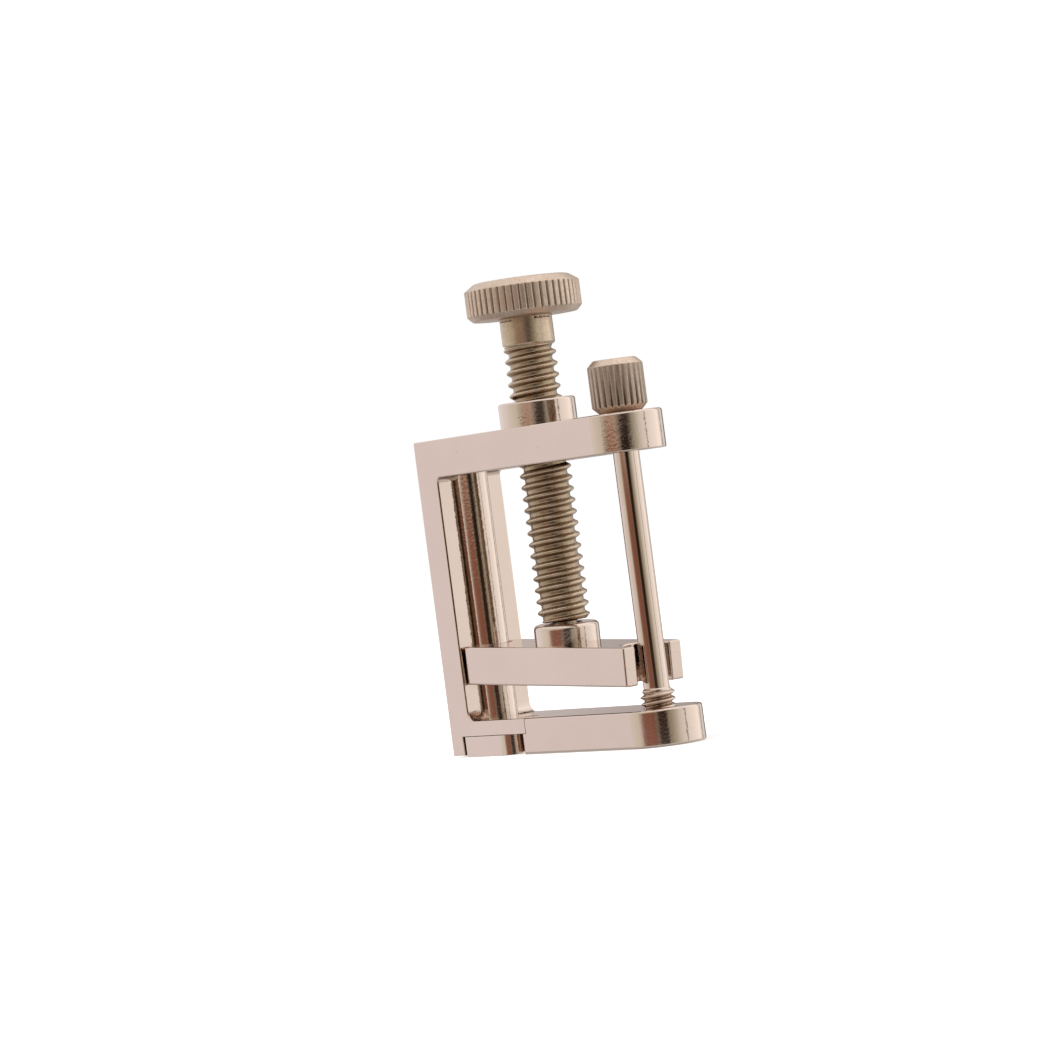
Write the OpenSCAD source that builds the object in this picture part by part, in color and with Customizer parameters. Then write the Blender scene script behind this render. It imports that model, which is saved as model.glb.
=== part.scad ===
// Swing-jaw screw clamp for soft lab tubing.
// Millimetres, +Z up. The origin lies where the clamp screw's axis meets the underside of the jaw,
// +X points from the screw towards the guide rod and the front face looks along -Y.

/* [Frame] */
// Screw axis to the outer face of the column
screw_to_back = 20.2; // [18:0.1:26]
// Screw axis to the axis of the guide rod
screw_to_rod = 16.2; // [13.5:0.1:22]
// Depth of frame and jaw, front to back
depth = 9.6; // [8:0.1:13]
// Height of the arm's top face above the base
frame_h = 39.1; // [32:0.1:60]
// Thickness of the top arm
arm_t = 4.65; // [3.8:0.05:6]
// Thickness of the column
column_t = 4.3; // [3.5:0.05:5.5]
// Lift of the column's end above the base
column_lift = 0.2; // [0.1:0.05:0.6]
// Fillet between column and arm
arm_fillet = 0.6; // [0.2:0.1:2]
// Fillet between column and foot lug
lug_fillet = 1.2; // [0.4:0.1:2]
// Diameter of the threaded boss on the arm
boss_d = 9.3; // [8.6:0.1:12]
// Height of the boss
boss_h = 3; // [1:0.1:5]
// Radius of the half-round guide rib on the column
rib_r = 2.3; // [1.8:0.05:2.8]

/* [Jaw] */
// Thickness of the swing jaw
jaw_t = 4.4; // [3.6:0.1:6]
// Thickness of the jaw's lap under the foot lug
lap_t = 2.5; // [2:0.1:2.8]
// Length of the column's narrow end beside the lap, along X
toe_t = 2.65; // [1.8:0.05:3]
// Gap between the lap's end and the column's end
lap_gap = 0.3; // [0.15:0.05:0.5]
// Gap over the lap and at the jaw's shoulder
seam = 0.05; // [0.05:0.05:0.2]
// Distance from the slot's near wall to the jaw's shoulder, at the front face
shoulder_web = 0.55; // [0.4:0.05:1]
// Distance from the screw's axis to the slot's near wall, at the front face
slot_to_screw = 4.9; // [4.5:0.1:6]
// Rounding of the slot's far wall where it opens to the front
lead_r = 1.75; // [0.5:0.05:2.2]
// Distance from the guide rod's axis to the centre of the jaw's round end
jaw_nose = 0.4; // [0:0.05:1]

/* [Latch stud] */
// Diameter of the stud's shank
stud_d = 2.2; // [1.8:0.1:3]
// Play of the stud in the jaw's slot, each side
stud_play = 0.2; // [0.1:0.05:0.4]
// Distance from the front face to the stud's axis
stud_inset = 2.5; // [1.9:0.1:3]
// Reach of the stud's hook behind its shank
hook_reach = 1.2; // [0.8:0.1:2]
// Thickness of the hook
hook_t = 0.7; // [0.5:0.05:1]
// Clearance round the hook in the jaw
hook_clear = 0.15; // [0.1:0.05:0.4]

/* [Clamp screw] */
// Diameter over the screw's thread
screw_d = 6.3; // [5.6:0.1:7.6]
// Diameter of the plain shank below the head
shank_d = 6.35; // [5:0.05:7.6]
// Length of the plain shank
shank_len = 3.8; // [1:0.1:6]
// Height of the head's underside above the boss at rest
head_stand = 10.1; // [8:0.1:16]
// Diameter of the spigot that the head is pressed on
spigot_d = 5; // [4:0.1:6]
// Length of that spigot
spigot_len = 3.2; // [2:0.1:3.8]
// Diameter of the ball at the screw's foot
ball_d = 4.6; // [4.2:0.1:5.6]
// Diameter of the neck above the ball
neck_d = 3; // [2.4:0.1:3.2]
// Chamfer at both ends of the thread
thread_chamfer = 0.5; // [0.2:0.1:0.8]

/* [Screw head] */
// Diameter of the knurled head
head_d = 13.9; // [10:0.1:20]
// Height of the knurled head
head_h = 4.6; // [4:0.1:7]
// Chamfer at the head's top edge, in from the rim
head_top_in = 1.3; // [0.4:0.1:2]
// Chamfer at the head's top edge, down from the face
head_top_down = 0.9; // [0.3:0.1:1.5]
// Chamfer at the head's lower edge
head_under = 0.65; // [0.2:0.05:1.2]

/* [Pressure plate] */
// Thickness of the plate
plate_t = 4.65; // [3.9:0.05:6]
// Inset of the plate from the frame's front and rear faces
plate_inset = 0.5; // [0.2:0.05:0.8]
// Gap between the plate's end and the column
plate_gap = 0.35; // [0.3:0.05:1.6]
// Reach of the fork past the guide rod's axis
fork_reach = 0.2; // [0:0.1:1.4]
// Clearance of the fork's slot round the rod's thread, each side
fork_clear = 0.46; // [0.3:0.02:0.9]
// Distance from the slot's root arc centre to the guide rod's axis
fork_back = 1.6; // [0.8:0.1:3]
// Open gap between plate and jaw on the screw's axis
pinch_gap = 3.65; // [2.6:0.05:8]
// Lean of the plate on the ball, fork end down
plate_tilt = 2.9; // [0:0.1:3.5]
// Height of the ball's centre above the plate's underside
ball_lift = 4; // [3.6:0.1:4.6]
// Diameter of the collar round the ball
collar_d = 7.9; // [6.8:0.1:8.4]
// Height of the collar
collar_h = 2.5; // [2.3:0.1:3.4]
// Diameter of the collar's mouth round the neck
mouth_d = 4; // [3.9:0.05:4.1]
// Rounding of the collar's rolled edge
collar_round = 0.6; // [0.2:0.1:0.8]
// Clearance of the plate's notch round the guide rib
rib_clear = 0.35; // [0.25:0.05:0.5]

/* [Guide rod and knob] */
// Diameter of the guide rod
rod_d = 3.1; // [2.4:0.1:3.6]
// Diameter over the thread at the rod's foot
rod_thread_d = 4.12; // [3.8:0.02:4.6]
// Length of that thread above the jaw
rod_thread_up = 2.2; // [1:0.1:4]
// Height of the rod's end above the base
rod_end_lift = 0.4; // [0.2:0.1:1]
// Diameter of the knurled knob
knob_d = 6.55; // [5.6:0.05:9]
// Height of the knob
knob_h = 6.25; // [5:0.05:9]
// Depth of the rod's seat in the knob
knob_seat = 4.6; // [3:0.1:4.8]
// Chamfer at the knob's edges
knob_chamfer = 0.75; // [0.3:0.05:1.2]

/* [Fits] */
// Running clearance on the radius of every shaft, thread and ball
run_clear = 0.05; // [0.03:0.01:0.1]
// Clearance on the radius of what is pressed or riveted
press_clear = 0.01; // [0.01:0.01:0.02]
// Gap under the knob when it is screwed down
knob_gap = 0.05; // [0.02:0.01:0.1]

/* [Hidden] */

$fn = 96;
over = 1;

front_y = -depth / 2;
back_x = -screw_to_back;
slot_w = stud_d + 2 * stud_play;
recess_w = stud_d + 2 * hook_clear;
column_x = back_x + column_t;
arm_z = frame_h - arm_t;
boss_top = frame_h + boss_h;
lug_z = lap_t + seam;

// Radii of the latch parts, all struck from the guide rod's axis so that the jaw swings clear.
toe_r = norm([screw_to_rod - back_x - toe_t, depth / 2]);
lap_r = toe_r - lap_gap;
slot_in_r = norm([screw_to_rod + slot_to_screw, depth / 2]);
stud_r = slot_in_r + slot_w / 2;
lug_r = slot_in_r - shoulder_web;
shoulder_r = lug_r - seam;
stud_y = front_y + stud_inset;
stud_x = screw_to_rod - sqrt(stud_r * stud_r - stud_y * stud_y);
stud_turn = atan2(stud_y, stud_x - screw_to_rod);
slot_sweep = 20;
hook_len = stud_d / 2 + hook_reach;
recess_h = column_lift + hook_t + hook_clear;

ball_z = jaw_t + pinch_gap + ball_lift;
collar_top = plate_t - ball_lift + collar_h;
thread_foot = ball_z + collar_top + run_clear + collar_d / 2 * sin(plate_tilt);
head_z = boss_top + head_stand;
thread_top = head_z - shank_len;
plate_x = column_x + plate_gap;
plate_end = screw_to_rod + fork_reach;
plate_w = depth - 2 * plate_inset;
fork_w = rod_thread_d + 2 * fork_clear;

module frame() {
    color([0.80, 0.74, 0.70])
    difference() {
        union() {
            arm_and_column();
            foot_lug();
            guide_rib();
            translate([0, 0, arm_z]) cylinder(d = boss_d, h = boss_top - arm_z);
        }
        translate([0, 0, arm_z - over])
            cylinder(r = screw_d / 2 + run_clear, h = arm_t + boss_h + 2 * over);
        at_rod() translate([0, 0, arm_z - over])
            cylinder(r = rod_d / 2 + run_clear, h = arm_t + 2 * over);
        translate([stud_x, stud_y, 0]) cylinder(r = stud_d / 2 + press_clear, h = jaw_t + over);
    }
}

module arm_and_column() {
    translate([back_x, front_y, arm_z]) cube([screw_to_back + screw_to_rod, depth, arm_t]);
    at_rod() translate([0, 0, arm_z]) cylinder(d = depth, h = arm_t);
    corner_fillet(column_x, arm_z, arm_fillet, 1);
    difference() {
        translate([back_x, front_y, column_lift]) cube([column_t, depth, frame_h - column_lift]);
        at_rod() translate([0, 0, -over]) cylinder(r = toe_r, h = lug_z + over, $fn = 180);
    }
}

module foot_lug() {
    corner_fillet(column_x, jaw_t, lug_fillet, 0);
    difference() {
        translate([back_x + column_t / 2, front_y, lug_z])
            cube([screw_to_rod - back_x - column_t / 2, depth, jaw_t - lug_z]);
        at_rod() translate([0, 0, lug_z - over])
            cylinder(r = lug_r, h = jaw_t - lug_z + 2 * over, $fn = 180);
    }
}

// Fillet in the corner right of x, above the level z or, mirrored, below it.
module corner_fillet(x, z, r, below) {
    translate([x, front_y, z]) mirror([0, 0, below])
    difference() {
        translate([-over, 0, -over]) cube([r + over, depth, r + over]);
        translate([r, -over, r]) rotate([-90, 0, 0]) cylinder(r = r, h = depth + 2 * over);
    }
}

// Half-round rib up the column's inner face, from the foot lug into the arm.
module guide_rib() {
    foot = (lug_z + jaw_t) / 2;
    translate([column_x, 0, foot]) cylinder(r = rib_r, h = arm_z + arm_t / 2 - foot);
}

module swing_jaw() {
    color([0.78, 0.72, 0.68])
    difference() {
        intersection() {
            jaw_blank();
            at_rod() cylinder(r = lap_r, h = jaw_t, $fn = 180);
        }
        ring_about_rod(shoulder_r, lap_r + over, lap_t, jaw_t + over, 0, 360);
        latch_slot(slot_w, slot_w / 2, lap_t + over);
        latch_slot(recess_w, hook_len + hook_clear, recess_h);
        slot_lead_in();
        at_rod() translate([0, 0, -over])
            cylinder(r = rod_thread_d / 2 + run_clear, h = jaw_t + 2 * over);
    }
}

// The bar before its lap is cut: square at the left, with a round end past the guide rod.
module jaw_blank() {
    translate([screw_to_rod - lap_r - over, front_y, 0]) cube([lap_r + over + jaw_nose, depth, jaw_t]);
    at_rod() translate([jaw_nose, 0, 0]) cylinder(d = depth, h = jaw_t);
}

// Curved slot, open at the front, that lets the stud out as the jaw swings back. It is w wide, is cut
// up to the level high and closes the given length behind the stud's axis.
module latch_slot(w, behind, high) {
    turn = asin(behind / stud_r);
    ring_about_rod(stud_r - w / 2, stud_r + w / 2, -over, high, stud_turn - turn, turn + slot_sweep);
}

// Rounds the slot's far wall into the front face, with a circle that touches both.
module slot_lead_in() {
    from_rod = stud_r + slot_w / 2 + lead_r;
    y = front_y + lead_r;
    x = screw_to_rod - sqrt(from_rod * from_rod - y * y);
    reach = lead_r + slot_w / 2;
    touch = atan2(-y, screw_to_rod - x);
    translate([x, y, -over]) linear_extrude(lap_t + 2 * over)
    difference() {
        polygon([[0, 0], [0, -lead_r - over], [reach, -lead_r - over], reach * [cos(touch), sin(touch)]]);
        circle(r = lead_r);
    }
}

// Part of a square-sided ring round the guide rod's axis.
module ring_about_rod(inner, outer, low, high, turn, sweep) {
    at_rod() translate([0, 0, low]) rotate([0, 0, turn])
        rotate_extrude(angle = sweep, $fn = 180)
            translate([inner, 0]) square([outer - inner, high - low]);
}

module latch_stud() {
    color([0.60, 0.53, 0.46])
    union() {
        translate([stud_x, stud_y, column_lift]) cylinder(d = stud_d, h = jaw_t - column_lift);
        hook();
    }
}

// Foot of the stud, as wide as its shank, that reaches back under the jaw.
module hook() {
    turn = asin(hook_len / stud_r);
    ring_about_rod(stud_r - stud_d / 2, stud_r + stud_d / 2, column_lift, column_lift + hook_t,
        stud_turn - turn, turn);
}

module thumb_screw() {
    color([0.70, 0.62, 0.52])
    union() {
        translate([0, 0, ball_z]) sphere(d = ball_d);
        translate([0, 0, ball_z]) cylinder(d = neck_d, h = thread_foot - ball_z + over);
        rotate_extrude() thread_profile();
        translate([0, 0, head_z - over]) cylinder(d = spigot_d, h = spigot_len + over);
    }
}

// Half section of the threaded length and the plain shank, with a chamfer where they meet.
module thread_profile() {
    r = screw_d / 2;
    c = thread_chamfer;
    polygon([
        [0, thread_foot], [r - c, thread_foot], [r, thread_foot + c], [r, thread_top - 2 * c],
        [r - c, thread_top - c], [r - c, thread_top], [shank_d / 2, thread_top + c],
        [shank_d / 2, head_z], [0, head_z]
    ]);
}

module screw_head() {
    color([0.72, 0.64, 0.53])
    difference() {
        knurl_blank(head_d / 2, head_z, head_h, head_top_in, head_top_down, head_under);
        translate([0, 0, head_z - over])
            cylinder(r = spigot_d / 2 + press_clear, h = spigot_len + press_clear + over);
    }
}

// Turned blank of a knurled head: radius, foot level, height, top chamfer in and down, lower chamfer.
module knurl_blank(r, z, h, top_in, top_down, under) {
    rotate_extrude()
        polygon([
            [0, z], [r - under, z], [r, z + under], [r, z + h - top_down], [r - top_in, z + h], [0, z + h]
        ]);
}

module pressure_plate() {
    color([0.80, 0.73, 0.68])
    translate([0, 0, ball_z]) rotate([0, plate_tilt, 0])
    difference() {
        union() {
            translate([plate_x, -plate_w / 2, -ball_lift]) cube([plate_end - plate_x, plate_w, plate_t]);
            collar_blank();
        }
        rib_notch();
        fork_slot();
        sphere(d = ball_d + 2 * run_clear);
        cylinder(d = mouth_d, h = collar_top + over);
    }
}

// Half-round notch that runs on the column's guide rib.
module rib_notch() {
    translate([column_x, 0, -ball_lift - over]) cylinder(r = rib_r + rib_clear, h = plate_t + 2 * over);
}

module collar_blank() {
    r = collar_d / 2;
    rotate_extrude() {
        square([r, collar_top - collar_round]);
        square([r - collar_round, collar_top]);
        translate([r - collar_round, collar_top - collar_round]) circle(r = collar_round);
    }
}

module fork_slot() {
    root = screw_to_rod - fork_back;
    translate([root, 0, -ball_lift - over]) cylinder(d = fork_w, h = plate_t + 2 * over);
    translate([root, -fork_w / 2, -ball_lift - over])
        cube([fork_back + fork_reach + over, fork_w, plate_t + 2 * over]);
}

module guide_rod() {
    color([0.74, 0.67, 0.60])
    at_rod() {
        translate([0, 0, rod_end_lift])
            cylinder(d = rod_thread_d, h = jaw_t + rod_thread_up - rod_end_lift);
        translate([0, 0, rod_end_lift])
            cylinder(d = rod_d, h = frame_h + knob_gap + knob_seat - rod_end_lift);
    }
}

module rod_knob() {
    color([0.70, 0.61, 0.50])
    at_rod()
    difference() {
        knurl_blank(knob_d / 2, frame_h + knob_gap, knob_h, knob_chamfer, knob_chamfer, knob_chamfer);
        translate([0, 0, frame_h - over])
            cylinder(r = rod_d / 2 + press_clear, h = over + knob_gap + knob_seat + press_clear);
    }
}

module at_rod() {
    translate([screw_to_rod, 0, 0]) children();
}

frame();
swing_jaw();
latch_stud();
thumb_screw();
screw_head();
pressure_plate();
guide_rod();
rod_knob();
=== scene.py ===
import math

import bmesh
import bpy
import numpy as np
from mathutils import Matrix, Vector


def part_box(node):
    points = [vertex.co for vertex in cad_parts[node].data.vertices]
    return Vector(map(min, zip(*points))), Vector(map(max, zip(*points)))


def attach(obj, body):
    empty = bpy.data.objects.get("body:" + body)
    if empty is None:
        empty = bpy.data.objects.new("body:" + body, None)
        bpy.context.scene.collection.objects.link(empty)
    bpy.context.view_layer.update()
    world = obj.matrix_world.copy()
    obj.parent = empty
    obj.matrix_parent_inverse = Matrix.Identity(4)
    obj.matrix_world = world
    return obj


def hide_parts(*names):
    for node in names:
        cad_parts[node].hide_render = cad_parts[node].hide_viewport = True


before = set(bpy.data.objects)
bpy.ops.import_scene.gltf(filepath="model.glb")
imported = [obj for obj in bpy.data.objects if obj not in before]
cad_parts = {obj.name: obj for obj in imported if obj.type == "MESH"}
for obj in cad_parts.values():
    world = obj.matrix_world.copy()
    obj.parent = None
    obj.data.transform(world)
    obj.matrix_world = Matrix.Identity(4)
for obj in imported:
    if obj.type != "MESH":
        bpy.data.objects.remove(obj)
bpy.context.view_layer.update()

mm = 0.001
uncut = 9.0    # a radius in millimetres that is larger than any turned piece's


# Reports a stage.
def say(words):
    print("scene:", words)


cameraView = {
    "azimuth": 54.0, "elevation": 0.327, "roll": 7.429,    # degrees
    "distance": 498.05, "aim": (-2.05, -2.55, 27.42),      # millimetres
    "lens": 142.3, "sensor": 36.0,
    "clip": (0.01, 20.0),                                  # metres
}


# The camera sits on a ball round the aim point: back is the unit vector from the aim to the camera,
# right and up span the picture, and the roll turns both about back.
def placeCamera(v):
    a, e, roll = (math.radians(v[k]) for k in ("azimuth", "elevation", "roll"))
    back = Vector((math.sin(a) * math.cos(e), -math.cos(a) * math.cos(e), math.sin(e)))
    right = Vector((math.cos(a), math.sin(a), 0))
    up = back.cross(right)
    x = right * math.cos(roll) - up * math.sin(roll)
    y = right * math.sin(roll) + up * math.cos(roll)
    data = bpy.data.cameras.new("benchCamera")
    data.lens, data.sensor_width = v["lens"], v["sensor"]
    data.clip_start, data.clip_end = v["clip"]
    camera = bpy.data.objects.new("benchCamera", data)
    spot = (Vector(v["aim"]) + back * v["distance"]) * mm
    camera.matrix_world = Matrix.Translation(spot) @ Matrix((x, y, back)).transposed().to_4x4()
    bpy.context.scene.collection.objects.link(camera)
    bpy.context.scene.camera = camera


placeCamera(cameraView)
say("camera placed")


# Puts whole arrays into a new mesh object: points is n x 3, quads and triangles are index arrays.
def meshPiece(name, points, quads, triangles=None, values=None):
    mesh = bpy.data.meshes.new(name)
    faces = [quads.reshape(-1, 4)]
    corners = [faces[0].ravel()]
    starts = np.arange(len(faces[0])) * 4
    if triangles is not None and len(triangles):
        corners.append(triangles.ravel())
        starts = np.concatenate([starts, len(faces[0]) * 4 + np.arange(len(triangles)) * 3])
    corners = np.concatenate(corners).astype(np.int32)
    mesh.vertices.add(len(points))
    mesh.vertices.foreach_set("co", points.astype(np.float32).ravel())
    mesh.loops.add(len(corners))
    mesh.loops.foreach_set("vertex_index", corners)
    mesh.polygons.add(len(starts))
    mesh.polygons.foreach_set("loop_start", starts.astype(np.int32))
    mesh.polygons.foreach_set("use_smooth", np.ones(len(starts), bool))
    for key, array in (values or {}).items():
        layer = mesh.attributes.new(key, "FLOAT", "POINT")
        layer.data.foreach_set("value", array.astype(np.float32).ravel())
    mesh.update(calc_edges=True)
    mesh.validate()
    piece = bpy.data.objects.new(name, mesh)
    bpy.context.scene.collection.objects.link(piece)
    return piece


# A half section with rounded corners. Each corner is (radius, height, rounding): the two sides stop
# that far from the corner, or at the most share of their length, and a parabola with the corner as
# its control point joins them.
def roundedSection(corners, steps=4, most=0.49):
    spots = np.array([c[:2] for c in corners], float)
    t = np.linspace(0, 1, steps + 1)[:, None]
    parts = [spots[:1]]
    for i in range(1, len(spots) - 1):
        before, here, after = spots[i - 1:i + 2]
        r = corners[i][2]
        if not r:
            parts.append(here[None])
            continue
        a = here + (before - here) * min(r / np.linalg.norm(before - here), most)
        b = here + (after - here) * min(r / np.linalg.norm(after - here), most)
        parts.append((1 - t) ** 2 * a + 2 * t * (1 - t) * here + t ** 2 * b)
    parts.append(spots[-1:])
    return np.concatenate(parts)


# Adds points to a section so that no step between low and high is longer than the given one.
def finerSection(section, step, low, high):
    lengths = np.linalg.norm(np.diff(section, axis=0), axis=1)
    middle = (section[1:, 1] + section[:-1, 1]) / 2
    counts = np.where((middle >= low) & (middle <= high), np.ceil(lengths / step), 1).astype(int)
    along = np.concatenate([[0], np.cumsum(lengths)])
    places = np.concatenate([np.linspace(along[i], along[i + 1], max(c, 1), endpoint=False)
                             for i, c in enumerate(counts)] + [along[-1:]])
    return np.stack([np.interp(places, along, section[:, k]) for k in (0, 1)], axis=1)


# Smooth step of a value between two limits: 3t^2 - 2t^3, with t its share of the way.
def smoothRise(value, low, high):
    t = np.clip((value - low) / (high - low), 0, 1)
    return t * t * (3 - 2 * t)


# A turned piece: the section goes from foot to top in (radius, height), millimetres, and every point
# of it is carried round the axis in equal steps. cut(angle, height) gives the most radius left there,
# so the surface is the smaller of the section and the cut. The first and last rings close on the axis.
# The hollow attribute is how far the surface lies below the section, as a share of depth.
def turnedPiece(name, section, columns, axisX, cut=None, depth=1.0):
    angle = np.arange(columns) / columns * 2 * np.pi
    radius = np.repeat(section[:, :1], columns, axis=1)
    height = np.repeat(section[:, 1:], columns, axis=1)
    left = radius if cut is None else np.minimum(radius, cut(angle[None, :], height))
    rings = np.stack([axisX + left * np.cos(angle), left * np.sin(angle), height], axis=2)
    poles = np.array([[axisX, 0, section[0, 1]], [axisX, 0, section[-1, 1]]])
    points = np.concatenate([rings.reshape(-1, 3), poles]) * mm
    i = np.arange(len(section) - 1)[:, None] * columns
    j, k = np.arange(columns)[None, :], (np.arange(columns)[None, :] + 1) % columns
    quads = np.stack([i + j, i + k, i + columns + k, i + columns + j], axis=2)
    last, foot, top = (len(section) - 1) * columns, len(section) * columns, len(section) * columns + 1
    j, k = j.ravel(), k.ravel()
    caps = np.concatenate([np.stack([np.full(columns, foot), k, j], axis=1),
                           np.stack([np.full(columns, top), last + j, last + k], axis=1)])
    hollow = np.concatenate([np.clip((radius - left) / depth, 0, 1).ravel(), [0, 0]])
    return meshPiece(name, points, quads, caps, {"hollow": hollow})


# Radius over a cut thread. share is how far a point lies between two roots, counted from start turns
# above the foot; the flanks are halfway between straight ones and a smooth step, so that the crest and
# the root come out rounded.
def threadCut(angle, height, crest, depth, pitch, foot, rootShare, crestShare, start=0.0):
    share = (height - foot) / pitch - angle / (2 * np.pi) - start
    fromRoot = np.abs(share - np.floor(share) - 0.5) * 2
    t = np.clip((fromRoot - rootShare) / (crestShare - rootShare), 0, 1)
    return crest - depth * (1 - (t + t * t * (3 - 2 * t)) / 2)


# Radius over a straight knurl: flat lands that take landShare of a ridge, and V grooves between them,
# each as deep as depth says at its height.
def knurlCut(angle, crest, depth, ridges, landShare, phase):
    share = angle / (2 * np.pi) * ridges + phase
    fromGroove = np.abs(share - np.floor(share) - 0.5) * 2
    return crest - depth * (1 - np.clip(fromGroove / (1 - landShare), 0, 1))


# A node with its settings and unlinked input values.
def addNode(tree, kind, values=None, **settings):
    made = tree.nodes.new("ShaderNode" + kind)
    for key, value in settings.items():
        setattr(made, key, value)
    for key, value in (values or {}).items():
        made.inputs[key].default_value = value
    return made


# An empty node group: a vector comes in with the named numbers, and the named masks go out.
def newGroup(name, numbers, masks):
    tree = bpy.data.node_groups.new(name, "ShaderNodeTree")
    tree.interface.new_socket("Vector", in_out="INPUT", socket_type="NodeSocketVector")
    for label in numbers:
        tree.interface.new_socket(label, in_out="INPUT", socket_type="NodeSocketFloat")
    for label in masks:
        tree.interface.new_socket(label, in_out="OUTPUT", socket_type="NodeSocketFloat")
    return tree, tree.nodes.new("NodeGroupInput"), tree.nodes.new("NodeGroupOutput")


castNumbers = ("Ripple Scale", "Ripple Height", "Peel Scale", "Peel Height", "Pit Scale", "Pit Limit")
castNoise = {
    "ripple": {"Detail": 1.0, "Roughness": 0.5}, "peel": {"Detail": 2.0, "Roughness": 0.5},
    "pits": {"Detail": 2.0, "Roughness": 0.55}, "tone": {"Scale": 95.0, "Detail": 4.0, "Roughness": 0.6},
    "pitSteepness": 18.0,
}


# Skin of a plated casting. The height, in millimetres, is a slow ripple plus a fine peel, small pits
# lie where a third noise passes a limit, and a slow tone varies colour and gloss.
def makeCastSkin(v):
    tree, given, out = newGroup("castSkin", castNumbers, ("Height", "Pits", "Tone"))
    link = tree.links.new
    ripple, peel, pits, tone = (addNode(tree, "TexNoise", v[k]) for k in ("ripple", "peel", "pits", "tone"))
    for noise in (ripple, peel, pits, tone):
        link(given.outputs["Vector"], noise.inputs["Vector"])
    link(given.outputs["Ripple Scale"], ripple.inputs["Scale"])
    link(given.outputs["Peel Scale"], peel.inputs["Scale"])
    link(given.outputs["Pit Scale"], pits.inputs["Scale"])
    slow = addNode(tree, "Math", operation="MULTIPLY")
    link(ripple.outputs["Fac"], slow.inputs[0])
    link(given.outputs["Ripple Height"], slow.inputs[1])
    both = addNode(tree, "Math", operation="MULTIPLY_ADD")
    link(peel.outputs["Fac"], both.inputs[0])
    link(given.outputs["Peel Height"], both.inputs[1])
    link(slow.outputs[0], both.inputs[2])
    over = addNode(tree, "Math", operation="SUBTRACT")
    link(pits.outputs["Fac"], over.inputs[0])
    link(given.outputs["Pit Limit"], over.inputs[1])
    steep = addNode(tree, "Math", {1: v["pitSteepness"]}, operation="MULTIPLY", use_clamp=True)
    link(over.outputs[0], steep.inputs[0])
    link(both.outputs[0], out.inputs["Height"])
    link(steep.outputs[0], out.inputs["Pits"])
    link(tone.outputs["Fac"], out.inputs["Tone"])
    return tree


turnedNumbers = ("Line Scale", "Grain Scale")
turnedNoise = {
    "lines": {"Detail": 2.0, "Roughness": 0.6}, "grain": {"Detail": 2.0, "Roughness": 0.5},
    "tone": {"Scale": 240.0, "Detail": 4.0, "Roughness": 0.65},
    "roundShare": 0.03,    # how fast the lines change round the piece, against along it
}


# Marks of turning: a noise over (distance from the axis, height), fine along the section and slow
# round the piece, plus a grain that has no direction.
def makeTurnedSkin(v):
    tree, given, out = newGroup("turnedSkin", turnedNumbers, ("Lines", "Grain", "Tone"))
    link = tree.links.new
    split = addNode(tree, "SeparateXYZ")
    flat = addNode(tree, "CombineXYZ")
    away = addNode(tree, "VectorMath", operation="LENGTH")
    link(given.outputs["Vector"], split.inputs[0])
    link(split.outputs["X"], flat.inputs["X"])
    link(split.outputs["Y"], flat.inputs["Y"])
    link(flat.outputs[0], away.inputs[0])
    slow = addNode(tree, "VectorMath", {1: (v["roundShare"], v["roundShare"], 0.0)}, operation="MULTIPLY")
    link(given.outputs["Vector"], slow.inputs[0])
    section = addNode(tree, "CombineXYZ")
    link(away.outputs["Value"], section.inputs["X"])
    link(split.outputs["Z"], section.inputs["Z"])
    where = addNode(tree, "VectorMath", operation="ADD")
    link(section.outputs[0], where.inputs[0])
    link(slow.outputs[0], where.inputs[1])
    lines = addNode(tree, "TexNoise", v["lines"])
    link(where.outputs[0], lines.inputs["Vector"])
    link(given.outputs["Line Scale"], lines.inputs["Scale"])
    grain = addNode(tree, "TexNoise", v["grain"])
    link(given.outputs["Vector"], grain.inputs["Vector"])
    link(given.outputs["Grain Scale"], grain.inputs["Scale"])
    tone = addNode(tree, "TexNoise", v["tone"])
    link(given.outputs["Vector"], tone.inputs["Vector"])
    link(lines.outputs["Fac"], out.inputs["Lines"])
    link(grain.outputs["Fac"], out.inputs["Grain"])
    link(tone.outputs["Fac"], out.inputs["Tone"])
    return tree


castSkin = makeCastSkin(castNoise)
turnedSkin = makeTurnedSkin(turnedNoise)


# A metal with an empty tree but for its shader.
def newMetal(name):
    material = bpy.data.materials.new(name)
    material.use_nodes = True
    tree = material.node_tree
    tree.nodes.clear()
    shader = addNode(tree, "BsdfPrincipled", {"Metallic": 1.0})
    out = addNode(tree, "OutputMaterial")
    tree.links.new(shader.outputs[0], out.inputs["Surface"])
    return material, tree, shader


# Object coordinates moved so that the piece's own axis is their middle.
def coordinates(tree, axisX=0.0):
    place = addNode(tree, "TexCoord")
    move = addNode(tree, "Mapping", {"Location": (-axisX * mm, 0, 0)})
    tree.links.new(place.outputs["Object"], move.inputs["Vector"])
    return move.outputs["Vector"]


# How far the surface faces up: the height part of its normal, from -1 to 1, or its size alone.
def facing(tree, sizeOnly=False):
    place, split = addNode(tree, "TexCoord"), addNode(tree, "SeparateXYZ")
    tree.links.new(place.outputs["Normal"], split.inputs[0])
    if not sizeOnly:
        return split.outputs["Z"]
    size = addNode(tree, "Math", operation="ABSOLUTE")
    tree.links.new(split.outputs["Z"], size.inputs[0])
    return size.outputs[0]


# Blends two colours by a mask that varies over the surface.
def blend(tree, mask, first, second):
    mix = addNode(tree, "Mix", data_type="RGBA")
    tree.links.new(mask, mix.inputs["Factor"])
    for socket, value in ((mix.inputs[6], first), (mix.inputs[7], second)):
        if isinstance(value, bpy.types.NodeSocket):
            tree.links.new(value, socket)
        else:
            socket.default_value = (*value, 1)
    return mix.outputs[2]


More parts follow.
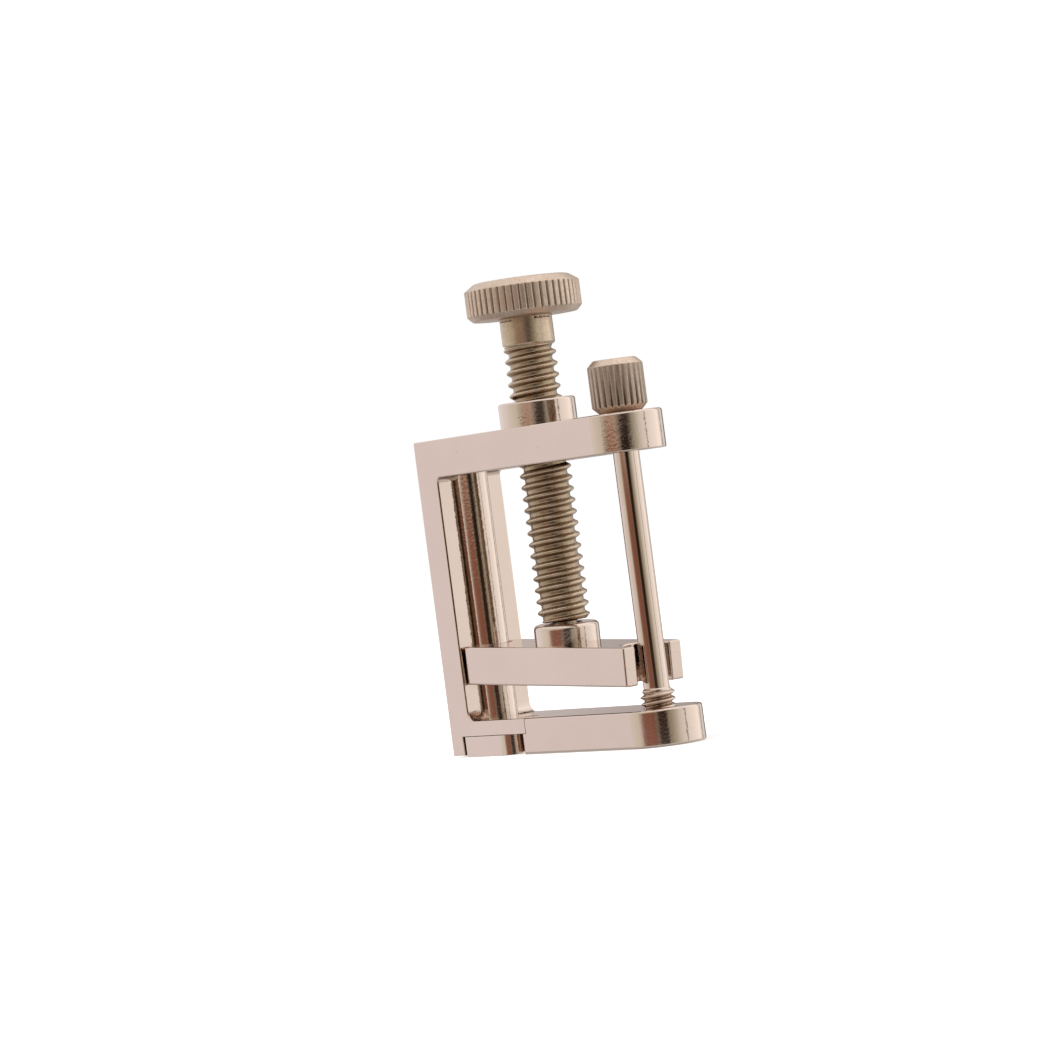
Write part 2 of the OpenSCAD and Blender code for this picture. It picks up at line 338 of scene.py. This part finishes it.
# Maps a mask from one range, (start, end), to another.
def remap(tree, mask, was, becomes):
    ramp = addNode(tree, "MapRange", {1: was[0], 2: was[1], 3: becomes[0], 4: becomes[1]})
    tree.links.new(mask, ramp.inputs["Value"])
    return ramp.outputs["Result"]


# Adds a bump to the normal that comes in. depth is the height, in millimetres, of a mask of one.
def bump(tree, mask, depth, normal=None, invert=False):
    made = addNode(tree, "Bump", {"Strength": 1.0, "Distance": depth * mm}, invert=invert)
    tree.links.new(mask, made.inputs["Height"])
    if normal is not None:
        tree.links.new(normal, made.inputs["Normal"])
    return made.outputs["Normal"]


# Ranges of each mask over which a look changes; the masks of what faces down and what faces sideways paint
# shade.
spread = {
    "tone": (0.35, 0.65), "castGloss": (0.35, 0.7), "turnedGloss": (0.3, 0.7),
    "grainSoil": (0.4, 0.7), "underShade": (-0.3, -0.75), "sideShade": (0.5, 0.1),
}


# Plated casting: two close colours by tone, darker pits, and a height that bends the reflections.
def makeCastMaterial(name, v):
    material, tree, shader = newMetal(name)
    skin = addNode(tree, "Group", node_tree=castSkin)
    for key in castNumbers:
        skin.inputs[key].default_value = v[key]
    link = tree.links.new
    link(coordinates(tree), skin.inputs["Vector"])
    tone = remap(tree, skin.outputs["Tone"], spread["tone"], (0, 1))
    base = blend(tree, tone, v["light"], v["dark"])
    link(blend(tree, skin.outputs["Pits"], base, v["pit"]), shader.inputs["Base Color"])
    gloss = remap(tree, skin.outputs["Tone"], spread["castGloss"], v["roughness"])
    link(gloss, shader.inputs["Roughness"])
    normal = bump(tree, skin.outputs["Height"], 1.0)
    link(bump(tree, skin.outputs["Pits"], v["pitDepth"], normal, invert=True), shader.inputs["Normal"])
    return material


# Turned metal: two colours by tone, then the root colour blended in by four masks, one after another:
# painted shade in the grooves below the section, grain, painted shade on what faces down, and painted shade
# on what faces sideways.
def makeTurnedMaterial(name, v, axisX=0.0):
    material, tree, shader = newMetal(name)
    skin = addNode(tree, "Group", node_tree=turnedSkin)
    for key in turnedNumbers:
        skin.inputs[key].default_value = v[key]
    link = tree.links.new
    link(coordinates(tree, axisX), skin.inputs["Vector"])
    tone = remap(tree, skin.outputs["Tone"], spread["tone"], (0, 1))
    base = blend(tree, tone, v["light"], v["dark"])
    hollow = addNode(tree, "Attribute", attribute_name="hollow")
    # The first mask paints shade into the grooves and notches: the deeper below the section, the nearer the
    # root colour.
    for mask, was, amount in ((hollow.outputs["Fac"], (v["grooveShadeFrom"], 1), "grooveShade"),
                              (skin.outputs["Grain"], spread["grainSoil"], "grainSoil"),
                              # What faces down takes painted shade: a dark line under each thread ridge.
                              (facing(tree), spread["underShade"], "underShade"),
                              # What faces sideways takes painted shade.
                              (facing(tree, True), spread["sideShade"], "sideShade")):
        base = blend(tree, remap(tree, mask, was, (0, v[amount])), base, v["root"])
    link(base, shader.inputs["Base Color"])
    gloss = remap(tree, skin.outputs["Grain"], spread["turnedGloss"], v["roughness"])
    link(gloss, shader.inputs["Roughness"])
    normal = bump(tree, skin.outputs["Lines"], v["lineDepth"])
    link(bump(tree, skin.outputs["Grain"], v["grainDepth"], normal), shader.inputs["Normal"])
    return material


# Gives a piece its material, and names its body and the solids it stands for. The slot it is given is not
# used.
def finishPiece(piece, material, body, slot, *nodes):
    piece.data.materials.clear()
    piece.data.materials.append(material)
    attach(piece, body)
    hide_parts(*nodes)


# Sizes are in millimetres, noise scales per metre.
castLook = {
    "light": (0.655, 0.535, 0.46), "dark": (0.635, 0.515, 0.44), "pit": (0.30, 0.21, 0.15),
    "roughness": (0.06, 0.10),
    "Ripple Scale": 300.0, "Ripple Height": 0.012, "Peel Scale": 3200.0, "Peel Height": 0.010,
    "Pit Scale": 1500.0, "Pit Limit": 0.76, "pitDepth": 0.008,
}

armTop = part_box("rod_knob")[0].z / mm
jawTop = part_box("swing_jaw")[1].z / mm
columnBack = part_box("frame")[0].x / mm
edgeRule = {
    "mergeWithin": 0.002, "cutWithin": 0.5, "segments": 4,    # millimetres, and strips per rounding
    "flatWithin": 0.5, "sharpFrom": 28,                       # degrees
}
# Rounding of the outer edges in millimetres. Where an edge's middle lies in one of the tight boxes
# (low corner, high corner, share), it takes that share of the rounding; the first box counts. The
# cuts across the arm's top keep a change of rounding near its place.
castings = {
    "clampFrame": {
        "node": "frame", "body": "frame", "rounding": 0.32, "tight": [
            ((-4.4, -9, armTop - 0.1), (4.4, 9, armTop + 0.1), 0.3),     # ledge beside the boss
            ((-3.24, -3.24, 0), (3.24, 3.24, 99), 0.35),                 # rim of the screw's bore
            ((columnBack + 1, -9, 0.5), (-17.5, 9, 1.7), 0.8),           # upright edges beside the lap
            ((-5.5, -9, 2.4), (-4.36, 9, 2.6), 0.0),                     # rim over the jaw's shoulder
            ((columnBack + 1, -9, 0), (0, 9, jawTop - 0.1), 0.1),        # lug and toe at the latch
            ((columnBack + 1, -9, jawTop - 0.1), (99, 9, armTop - 1), 0.6),
        ], "cuts": (-4.4, -3.6, -2.8, -2.0, -1.2, 1.2, 2.0, 2.8, 3.6, 4.4, 9.0),
    },
    "swingJaw": {
        "node": "swing_jaw", "body": "jaw", "rounding": 0.32, "tight": [
            ((-99, -9, 0.3), (-17, 9, 1.7), 0.8),                        # upright edges of the lap's end
            ((-99, -9, -1), (-2, 9, jawTop + 1), 0.1),                   # lap, slot and shoulder
            ((13, -2.5, -1), (19, 2.5, 99), 0.3),                        # rim of the rod's hole
        ], "cuts": (),
    },
    "forkedPlate": {
        "node": "pressure_plate", "body": "plate", "rounding": 0.22, "tight": [
            ((-3, -3, 11), (3, 3, 99), 0.3),                             # mouth of the collar
        ], "cuts": (),
    },
}


# A merged copy of the solid's own surface, with flat parts cleaned of needless edges, and the arm's
# top cut across at each x of cuts. Sharp outward edges get a rounding, and inward ones stay sharp.
def roundedCasting(name, v):
    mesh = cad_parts[v["node"]].data.copy()
    mesh.name = name
    work = bmesh.new()
    work.from_mesh(mesh)
    bmesh.ops.remove_doubles(work, verts=work.verts, dist=edgeRule["mergeWithin"] * mm)
    flat = math.radians(edgeRule["flatWithin"])
    bmesh.ops.dissolve_limit(work, angle_limit=flat, verts=work.verts, edges=work.edges)
    for x in v["cuts"]:
        faces = [f for f in work.faces
                 if abs(f.calc_center_median().z - armTop * mm) < edgeRule["cutWithin"] * mm]
        sides, corners = ({part for f in faces for part in getattr(f, k)} for k in ("edges", "verts"))
        near = faces + list(sides) + list(corners)
        bmesh.ops.bisect_plane(work, geom=near, plane_co=(x * mm, 0, 0), plane_no=(1, 0, 0))
    weight = work.edges.layers.float.new("bevel_weight_edge")
    for edge in work.edges:
        turn = edge.calc_face_angle_signed(0)
        if abs(turn) < math.radians(edgeRule["sharpFrom"]):
            continue
        if turn < 0:
            edge.smooth = False
            continue
        x, y, z = (edge.verts[0].co + edge.verts[1].co) / 2 / mm
        edge[weight] = 1.0
        for low, high, share in v["tight"]:
            if low[0] < x < high[0] and low[1] < y < high[1] and low[2] < z < high[2]:
                edge[weight] = share
                break
    work.to_mesh(mesh)
    work.free()
    for key in [a.name for a in mesh.attributes if a.name.startswith("custom_normal")]:
        mesh.attributes.remove(mesh.attributes[key])
    piece = bpy.data.objects.new(name, mesh)
    bpy.context.scene.collection.objects.link(piece)
    edges = piece.modifiers.new("edgeRounding", "BEVEL")
    edges.width, edges.segments = v["rounding"] * mm, edgeRule["segments"]
    edges.limit_method, edges.use_clamp_overlap = "WEIGHT", False
    shading = piece.modifiers.new("flatFaces", "WEIGHTED_NORMAL")
    shading.keep_sharp = True
    return piece


castMetal = makeCastMaterial("warmPlate", castLook)
for pieceName, values in castings.items():
    casting = roundedCasting(pieceName, values)
    finishPiece(casting, castMetal, values["body"], "plated_casting", values["node"])
    say(pieceName + " made")

screwShape = {
    "threadRadius": 3.13, "threadDepth": 0.54, "pitch": 1.38, "rootShare": 0.30, "crestShare": 0.86,
    "ball": 2.3, "neck": 1.5, "footAboveBall": 3.395, "shank": 3.175, "shankLength": 3.8,
    "chamfer": 0.5, "spigot": 2.5, "columns": 120, "rowsPerTurn": 16, "start": 0.2,
    "neckRound": 0.15, "footRound": 0.1, "shankRound": 0.15, "topIn": 0.2, "topUp": 0.175,
    "fadeFrom": 0.2, "fadeOver": 0.6, "fadeShare": 0.6, "fadeRise": 0.3,
    "belowStep": 0.15, "shankStep": 0.12, "ballRows": 20,
    "notches": 30, "notchLow": 0.46, "notchHigh": 0.22, "notchDepth": 0.5, "notchPhase": math.pi / 4,
    "notchRim": 0.02, "waves": 4, "wavePhase": 2.9,
}
screwLook = {
    "light": (0.58, 0.455, 0.345), "dark": (0.48, 0.37, 0.26), "root": (0.20, 0.13, 0.07),
    # The root colour is painted shade: the groove amount darkens the thread's roots, and the facing-down
    # amount paints a dark line under each ridge.
    "roughness": (0.24, 0.34), "grooveShade": 0.4, "grooveShadeFrom": 0.5, "underShade": 0.65, "sideShade": 0.0,
    "grainSoil": 0.15,
    "Line Scale": 6000.0, "Grain Scale": 3000.0, "lineDepth": 0.0035, "grainDepth": 0.003,
}


# From the foot: a ball with radius times sine and cosine of its turn, a neck, the thread, which runs
# out towards its top, a smooth shank with a row of small notches round it, broken off where a slow
# cosine of the angle is above zero, and a spigot inside the head.
def makeThumbScrew(v):
    low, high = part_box("thumb_screw")
    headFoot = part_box("screw_head")[0].z / mm
    ballZ = low.z / mm + v["ball"]
    foot, top = ballZ + v["footAboveBall"], headFoot - v["shankLength"]
    c, r = v["chamfer"], v["threadRadius"]
    turn = np.linspace(0, math.pi - math.asin(v["neck"] / v["ball"]), v["ballRows"])
    ball = np.stack([v["ball"] * np.sin(turn), ballZ - v["ball"] * np.cos(turn)], axis=1)
    rows = np.arange(foot + c, top, v["pitch"] / v["rowsPerTurn"])
    thread = np.stack([np.full(len(rows), r), rows], axis=1)
    rim, shankRound = v["notchRim"], v["shankRound"]
    below = roundedSection([(v["neck"], ball[-1, 1], 0), (v["neck"], foot, v["neckRound"]),
                            (r - c, foot, v["footRound"]), (r, foot + c, 0)])
    above = roundedSection([
        (r, rows[-1], 0), (r, top, 0), (r - v["topIn"], top + v["topUp"], v["footRound"]),
        (v["shank"], top + c, shankRound), (v["shank"], headFoot - rim, rim),
        (v["spigot"], headFoot - rim, rim), (v["spigot"], high.z / mm, 0)])
    section = np.concatenate([ball, finerSection(below[1:], v["belowStep"], foot, top), thread[1:],
                              finerSection(above[1:], v["shankStep"], top, top + c + v["fadeRise"])])
    lowRow, highRow = headFoot - v["notchLow"], headFoot - v["notchHigh"]
    rims = np.array([row + step for row in (lowRow, highRow) for step in (-rim, 0, rim)])
    where = np.searchsorted(section[:, 1], rims[0])
    rims = np.stack([np.full(len(rims), v["shank"]), rims], axis=1)
    section = np.concatenate([section[:where], rims, section[where:]])

    def cut(angle, height):
        turned = threadCut(angle, height, r, v["threadDepth"], v["pitch"], foot, v["rootShare"],
                           v["crestShare"], v["start"])
        fade = np.clip((height - top + v["fadeFrom"]) / v["fadeOver"], 0, 1)
        onThread = (height > foot - rim / 2) & (height < top + c)
        turned = np.where(onThread, turned + fade * v["threadDepth"] * v["fadeShare"], uncut)
        inRow = (height > lowRow + rim / 2) & (height < highRow - rim / 2)
        some = np.cos(v["waves"] * angle + v["wavePhase"]) < 0
        notch = inRow & some & (np.cos(angle * v["notches"] + v["notchPhase"]) > 0)
        return np.where(notch, v["shank"] - v["notchDepth"], turned)

    return turnedPiece("thumbScrew", section, v["columns"], 0, cut, v["threadDepth"])


screwMetal = makeTurnedMaterial("satinScrew", screwLook)
finishPiece(makeThumbScrew(screwShape), screwMetal, "screw", "screw_steel", "thumb_screw")
say("thumb screw made")

headShape = {
    "topIn": 1.3, "topDown": 0.9, "under": 0.65, "ridges": 50, "columnsPerRidge": 10, "depth": 0.2,
    "landShare": 0.64, "phase": 0.0, "fade": 0.1, "edge": 0.12, "topEdge": 0.4, "middle": 0.4,
    "step": 0.1, "margin": 0.02, "fadeMargin": 0.2, "underMargin": 0.1,
}
knobShape = {
    "topIn": 0.75, "topDown": 0.75, "under": 0.75, "ridges": 25, "columnsPerRidge": 12, "depth": 0.32,
    "landShare": 0.52, "phase": 0.23, "fade": 0.35, "edge": 0.10, "topEdge": 0.12, "middle": 0.4,
    "step": 0.1, "margin": 0.02, "fadeMargin": 0.2, "underMargin": 0.1,
}
knurlLook = {
    "light": (0.68, 0.535, 0.43), "dark": (0.58, 0.445, 0.35), "root": (0.09, 0.055, 0.03),
    # The groove amount paints shade into the knurl's grooves with the dark root colour.
    "roughness": (0.36, 0.48), "grooveShade": 0.9, "grooveShadeFrom": 0.1, "underShade": 0.0, "sideShade": 0.0,
    "grainSoil": 0.14,
    "Line Scale": 4200.0, "Grain Scale": 3000.0, "lineDepth": 0.003, "grainDepth": 0.003,
}


# A disc with a broad chamfer above and a small one below, and a straight knurl round its rim, which
# fades out by a smooth step of height below the upper chamfer.
def makeKnurled(name, node, v):
    low, high = (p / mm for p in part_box(node))
    axisX, r = (low.x + high.x) / 2, (high.x - low.x) / 2
    knurlFoot, knurlTop, e = low.z + v["under"], high.z - v["topDown"], v["edge"]
    section = roundedSection([
        (v["middle"], low.z, 0), (r - v["under"], low.z, e), (r, knurlFoot, e), (r, knurlTop, e),
        (r - v["topIn"], high.z, v["topEdge"]), (v["middle"], high.z, 0)])
    section = finerSection(section, v["step"], low.z + v["margin"], knurlFoot + v["underMargin"])
    fadeFoot = knurlTop - v["fade"]
    section = finerSection(section, v["step"], fadeFoot - v["fadeMargin"], high.z - v["margin"])

    def groove(angle, height):
        depth = v["depth"] * (1 - smoothRise(height, fadeFoot, knurlTop))
        return knurlCut(angle, r, depth, v["ridges"], v["landShare"], v["phase"])

    return turnedPiece(name, section, v["ridges"] * v["columnsPerRidge"], axisX, groove, v["depth"])


headMetal = makeTurnedMaterial("satinKnurl", knurlLook)
head = makeKnurled("knurledHead", "screw_head", headShape)
finishPiece(head, headMetal, "screw", "knurled_steel", "screw_head")
rodX = sum(p.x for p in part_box("rod_knob")) / 2 / mm
# The knob's grooves take even more painted shade, and its sideways-facing lands take painted shade too.
knobLook = dict(knurlLook, light=(0.72, 0.57, 0.46), dark=(0.62, 0.48, 0.38), root=(0.05, 0.03, 0.015),
                grooveShade=1.0, grooveShadeFrom=0.05, sideShade=0.34)
knobMetal = makeTurnedMaterial("satinKnobKnurl", knobLook, rodX)
knob = makeKnurled("knurledKnob", "rod_knob", knobShape)
finishPiece(knob, knobMetal, "knob", "knurled_steel", "rod_knob")
say("knurled head and knob made")

rodShape = {
    "rod": 1.55, "thread": 2.06, "threadDepth": 0.44, "pitch": 0.794, "threadTop": 6.6,
    "rootShare": 0.15, "crestShare": 0.86, "chamfer": 0.35, "columns": 72, "rowsPerTurn": 12,
    "middle": 0.3, "footRound": 0.08, "topRound": 0.1, "stepOut": 0.03, "stepUp": 0.1, "stepRound": 0.05,
    "ringIn": 0.3,
}
rodLook = {
    "light": (0.655, 0.535, 0.46), "dark": (0.63, 0.51, 0.435), "root": (0.25, 0.16, 0.10),
    # The root colour is painted shade in the rod's thread: in its roots and under each ridge.
    "roughness": (0.05, 0.08), "grooveShade": 0.7, "grooveShadeFrom": 0.4, "underShade": 0.5, "sideShade": 0.0,
    "grainSoil": 0.0,
    "Line Scale": 1500.0, "Grain Scale": 1800.0, "lineDepth": 0.0008, "grainDepth": 0.0008,
}


# A threaded foot that ends in a small cone, and a plain rod above it. A ring near each end of the
# plain rod keeps its long wall's normals level.
def makeGuideRod(v):
    low, high = (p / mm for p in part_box("guide_rod"))
    c, r, rod, top = v["chamfer"], v["thread"], v["rod"], v["threadTop"]
    rows = np.arange(low.z + c, top - c, v["pitch"] / v["rowsPerTurn"])
    foot = roundedSection([(v["middle"], low.z, 0), (r - c, low.z, v["footRound"]), (r, low.z + c, 0)])
    thread = np.stack([np.full(len(rows), r), rows], axis=1)
    plain = roundedSection([
        (r, top - c, 0), (rod + v["stepOut"], top, v["topRound"]),
        (rod, top + v["stepUp"], v["stepRound"]), (rod, top + v["ringIn"], 0),
        (rod, high.z - v["ringIn"], 0), (rod, high.z, v["topRound"]), (v["middle"], high.z, 0)])
    section = np.concatenate([foot[:-1], thread, plain])

    def cut(angle, height):
        turned = threadCut(angle, height, r, v["threadDepth"], v["pitch"], low.z, v["rootShare"],
                           v["crestShare"])
        return np.where(height < top, turned, uncut)

    return turnedPiece("guideRod", section, v["columns"], rodX, cut, v["threadDepth"])


rodMetal = makeTurnedMaterial("smoothRod", rodLook, rodX)
finishPiece(makeGuideRod(rodShape), rodMetal, "rod", "rod_steel", "guide_rod")

studShape = {"node": "latch_stud", "rounding": 0.08, "tight": [], "cuts": ()}
studLook = dict(screwLook, light=(0.50, 0.38, 0.29), dark=(0.42, 0.30, 0.21))
studMetal = makeTurnedMaterial("dullStud", studLook)
finishPiece(roundedCasting("latchStud", studShape), studMetal, "frame", "stud_steel", "latch_stud")
say("rod and stud made")

# What polished metal sees round it, by azimuth as the camera's is counted: pale cloth, a warm brown
# stretch in front, the black gap where the camera stands, brighter cloth to the right and behind, and
# a dim gap at the back left. Rows are azimuth, red, green, blue. The first list is for the level of
# the jaw, the second for the arm's.
tentLow = np.array([
    (-180, 0.95, 0.95, 0.94), (-160, 0.95, 0.95, 0.94), (-152, 0.22, 0.20, 0.18), (-134, 0.22, 0.20, 0.18),
    (-125, 0.60, 0.52, 0.50), (-112, 0.80, 0.78, 0.76), (-95, 1.05, 1.04, 1.03), (-75, 1.04, 1.02, 1.05),
    (-54, 1.015, 0.99, 1.045), (-38, 0.93, 0.92, 0.85), (-20, 0.88, 0.86, 0.76), (-14, 0.78, 0.74, 0.66),
    (-8, 0.56, 0.46, 0.43), (-5, 0.36, 0.25, 0.21), (4, 0.31, 0.14, 0.10), (22, 0.31, 0.12, 0.07),
    (30, 0.24, 0.11, 0.08), (34, 0.26, 0.18, 0.13), (41, 0.17, 0.13, 0.09), (44, 0.04, 0.02, 0.01),
    (63, 0.04, 0.02, 0.01), (70, 0.34, 0.32, 0.25), (76, 0.42, 0.38, 0.29), (88, 0.60, 0.59, 0.50),
    (100, 0.88, 0.87, 0.80), (107, 0.97, 0.96, 0.92), (128, 1.15, 1.15, 1.14), (149, 1.28, 1.28, 1.26),
    (168, 1.46, 1.45, 1.43), (180, 0.95, 0.95, 0.94),
])
tentHigh = np.array([
    (-180, 0.95, 0.95, 0.94), (-160, 0.95, 0.95, 0.94), (-152, 0.22, 0.20, 0.18), (-134, 0.22, 0.20, 0.18),
    (-125, 0.60, 0.52, 0.50), (-112, 0.80, 0.78, 0.76), (-95, 1.05, 1.04, 1.03), (-75, 1.04, 1.02, 1.05),
    (-54, 1.015, 0.99, 1.045), (-38, 0.92, 0.91, 0.83), (-20, 0.83, 0.82, 0.73), (-11, 0.81, 0.80, 0.71),
    (-5, 0.64, 0.62, 0.53), (4, 0.40, 0.36, 0.29), (10, 0.40, 0.26, 0.20), (18, 0.55, 0.37, 0.29),
    (26, 0.55, 0.37, 0.29), (31, 0.58, 0.49, 0.39), (35, 0.46, 0.39, 0.32), (42, 0.30, 0.27, 0.22),
    (46, 0.01, 0.01, 0.01), (70, 0.01, 0.01, 0.01), (73, 0.20, 0.19, 0.16), (79, 0.38, 0.37, 0.31),
    (88, 0.57, 0.57, 0.49), (100, 0.88, 0.87, 0.80), (107, 0.97, 0.96, 0.92), (128, 1.15, 1.15, 1.14),
    (149, 1.28, 1.28, 1.26), (168, 1.46, 1.45, 1.43), (180, 0.95, 0.95, 0.94),
])
# The least glow at the level of the boss, where the brown stretch is paler.
tentTop = np.array([
    (-10, 0.0, 0.0, 0.0), (-3, 0.74, 0.70, 0.60), (4, 0.64, 0.56, 0.46), (17, 0.57, 0.45, 0.35),
    (30, 0.50, 0.39, 0.32), (42, 0.34, 0.26, 0.24), (48, 0.27, 0.22, 0.21), (54, 0.11, 0.09, 0.08),
    (68, 0.11, 0.09, 0.07), (74, 0.21, 0.16, 0.13), (100, 0.32, 0.26, 0.21), (104, 0.0, 0.0, 0.0),
])
tentShape = {
    "radius": 0.6, "centreZ": 0.028, "columns": 1441,       # metres
    "above": 1.2, "below": 0.74, "under": 0.48,             # glow of plain cloth
    "bandUp": 38.0, "bandDown": 13.0,                       # heights of the band, in degrees
    "underFrom": 25.0, "underFull": 60.0, "lowUpTo": 0.0, "highFrom": 1.4,
    "leastFrom": 1.9, "leastFull": 2.3,                     # elevations, in degrees
    "brightSide": 140.0, "sideShare": 0.12,                 # azimuth, and how much brighter
    "seams": ((119, 2.8, 0.15), (-177, 3.6, 0.35)),         # azimuth, width, what is left of the glow
}


# Glow of the cloth by azimuth: the rows joined by straight lines, and darker at each narrow seam, fully
# within a quarter of its width and not at all beyond three quarters.
def tentBand(rows, azimuth, seams):
    glow = np.stack([np.interp(azimuth, rows[:, 0], rows[:, k]) for k in (1, 2, 3)], axis=1)
    for place, width, left in seams:
        away = np.abs((azimuth - place + 180) % 360 - 180)
        glow *= (1 - (1 - left) * np.clip(1.5 - away / width * 2, 0, 1))[:, None]
    return glow


# A ball of cloth seen only by reflections. The two bands blend by a smooth step of elevation, the
# least glow rises by another one, and all of it fades to plain cloth above and below by
# exp(-(elevation / height)^4), sooner downwards. Plain cloth is darker far down, and brighter towards
# one side by a cosine of azimuth.
def makeTent(v):
    steep = np.concatenate([np.linspace(-90, -24, 23), np.arange(-23, -11, 1), np.arange(-11, 8, 0.5),
                            np.linspace(8, 90, 28)])    # elevations of the rows, closer near level
    lift, azimuth = np.radians(steep)[:, None], np.linspace(-180, 180, v["columns"])
    turn = np.radians(azimuth)[None, :]
    flat = np.cos(lift)
    way = np.stack([np.sin(turn) * flat, -np.cos(turn) * flat, np.sin(lift) + 0 * turn], axis=2)
    points = way * v["radius"] + np.array([0, 0, v["centreZ"]])
    rise = smoothRise(steep, v["lowUpTo"], v["highFrom"])[:, None, None]
    band = tentBand(tentLow, azimuth, v["seams"])[None] * (1 - rise)
    band = band + tentBand(tentHigh, azimuth, v["seams"])[None] * rise
    least = smoothRise(steep, v["leastFrom"], v["leastFull"])[:, None, None]
    band = np.maximum(band, least * tentBand(tentTop, azimuth, ())[None])
    share = np.exp(-(steep / np.where(steep > 0, v["bandUp"], v["bandDown"])) ** 4)[:, None, None]
    floorGlow = v["below"] + (v["under"] - v["below"]) * smoothRise(-steep, v["underFrom"], v["underFull"])
    plain = np.where(steep > 0, v["above"], floorGlow)[:, None, None]
    plain = plain * (1 + v["sideShare"] * np.cos(turn - math.radians(v["brightSide"])))[:, :, None]
    glow = band * share + plain * (1 - share)
    rows, columns = len(steep), len(azimuth)
    i, j = np.arange(rows - 1)[:, None] * columns, np.arange(columns - 1)[None, :]
    quads = np.stack([i + j, i + columns + j, i + columns + j + 1, i + j + 1], axis=2)
    tent = meshPiece("studioTent", points.reshape(-1, 3), quads)
    layer = tent.data.attributes.new("glow", "FLOAT_COLOR", "POINT")
    rgba = np.concatenate([glow, np.ones((rows, columns, 1))], axis=2)
    layer.data.foreach_set("color", rgba.astype(np.float32).ravel())
    material = bpy.data.materials.new("tentCloth")
    material.use_nodes = True
    tree = material.node_tree
    tree.nodes.clear()
    colour = addNode(tree, "Attribute", attribute_name="glow")
    emit, out = addNode(tree, "Emission", {"Strength": 1.0}), addNode(tree, "OutputMaterial")
    tree.links.new(colour.outputs["Color"], emit.inputs["Color"])
    tree.links.new(emit.outputs[0], out.inputs["Surface"])
    tent.data.materials.append(material)
    tent.visible_camera = tent.visible_diffuse = tent.visible_shadow = False
    tent.visible_transmission = tent.visible_volume_scatter = False


floorLook = {
    "cloth": (0.86, 0.86, 0.86, 1), "glow": 0.49, "points": 7,
    "reach": 3.0, "sunk": 0.00002,                          # metres
}


# A flat grid for a floor, with a plain glow for camera rays only, so that it reads white beside its
# shadow.
def makeFloor(v):
    side, n = np.linspace(-v["reach"], v["reach"], v["points"]), v["points"]
    x, y = np.meshgrid(side, side)
    points = np.stack([x, y, np.full_like(x, -v["sunk"])], axis=2).reshape(-1, 3)
    i, j = np.arange(n - 1)[:, None] * n, np.arange(n - 1)[None, :]
    quads = np.stack([i + j, i + j + 1, i + n + j + 1, i + n + j], axis=2)
    floor = meshPiece("studioFloor", points, quads)
    material = bpy.data.materials.new("paleFloor")
    material.use_nodes = True
    tree = material.node_tree
    tree.nodes.clear()
    cloth = addNode(tree, "BsdfDiffuse", {"Color": v["cloth"]})
    ray = addNode(tree, "LightPath")
    lift = addNode(tree, "Math", {1: v["glow"]}, operation="MULTIPLY")
    glow, both, out = addNode(tree, "Emission"), addNode(tree, "AddShader"), addNode(tree, "OutputMaterial")
    tree.links.new(ray.outputs["Is Camera Ray"], lift.inputs[0])
    tree.links.new(lift.outputs[0], glow.inputs["Strength"])
    tree.links.new(cloth.outputs[0], both.inputs[0])
    tree.links.new(glow.outputs[0], both.inputs[1])
    tree.links.new(both.outputs[0], out.inputs["Surface"])
    floor.data.materials.append(material)
    floor.visible_glossy = False


roomLight = {
    "room": 0.62, "power": 3.0,
    "place": (-0.15, -0.2, 0.7), "aim": (0, 0, 0), "size": 0.5,    # metres
}


# White where the camera, a reflection or a clear piece looks past the tent, softer as a light.
def makeWorld(room):
    world = bpy.data.worlds.new("studioWorld")
    world.use_nodes = True
    tree = world.node_tree
    tree.nodes.clear()
    ray = addNode(tree, "LightPath")
    seen, seenToo = (addNode(tree, "Math", operation="MAXIMUM") for _ in range(2))
    light = addNode(tree, "Background", {"Color": (1, 1, 1, 1), "Strength": room})
    back = addNode(tree, "Background", {"Color": (1, 1, 1, 1), "Strength": 1.0})
    mix, out = addNode(tree, "MixShader"), addNode(tree, "OutputWorld")
    tree.links.new(ray.outputs["Is Camera Ray"], seen.inputs[0])
    tree.links.new(ray.outputs["Is Glossy Ray"], seen.inputs[1])
    tree.links.new(seen.outputs[0], seenToo.inputs[0])
    tree.links.new(ray.outputs["Is Transmission Ray"], seenToo.inputs[1])
    tree.links.new(seenToo.outputs[0], mix.inputs[0])
    tree.links.new(light.outputs[0], mix.inputs[1])
    tree.links.new(back.outputs[0], mix.inputs[2])
    tree.links.new(mix.outputs[0], out.inputs["Surface"])
    bpy.context.scene.world = world


# A round lamp at its place, turned so that its face looks at the aim point.
def softLamp(name, v):
    data = bpy.data.lights.new(name, "AREA")
    data.shape, data.size, data.energy = "DISK", v["size"], v["power"]
    lamp = bpy.data.objects.new(name, data)
    spot = Vector(v["place"])
    turned = (spot - Vector(v["aim"])).to_track_quat("Z", "Y").to_matrix().to_4x4()
    lamp.matrix_world = Matrix.Translation(spot) @ turned
    lamp.visible_glossy = False
    bpy.context.scene.collection.objects.link(lamp)


makeTent(tentShape)
makeFloor(floorLook)
makeWorld(roomLight["room"])
softLamp("overheadSoftbox", roomLight)
bpy.context.scene.view_settings.view_transform = "Standard"
say("stage made")

bpy.context.view_layer.update()
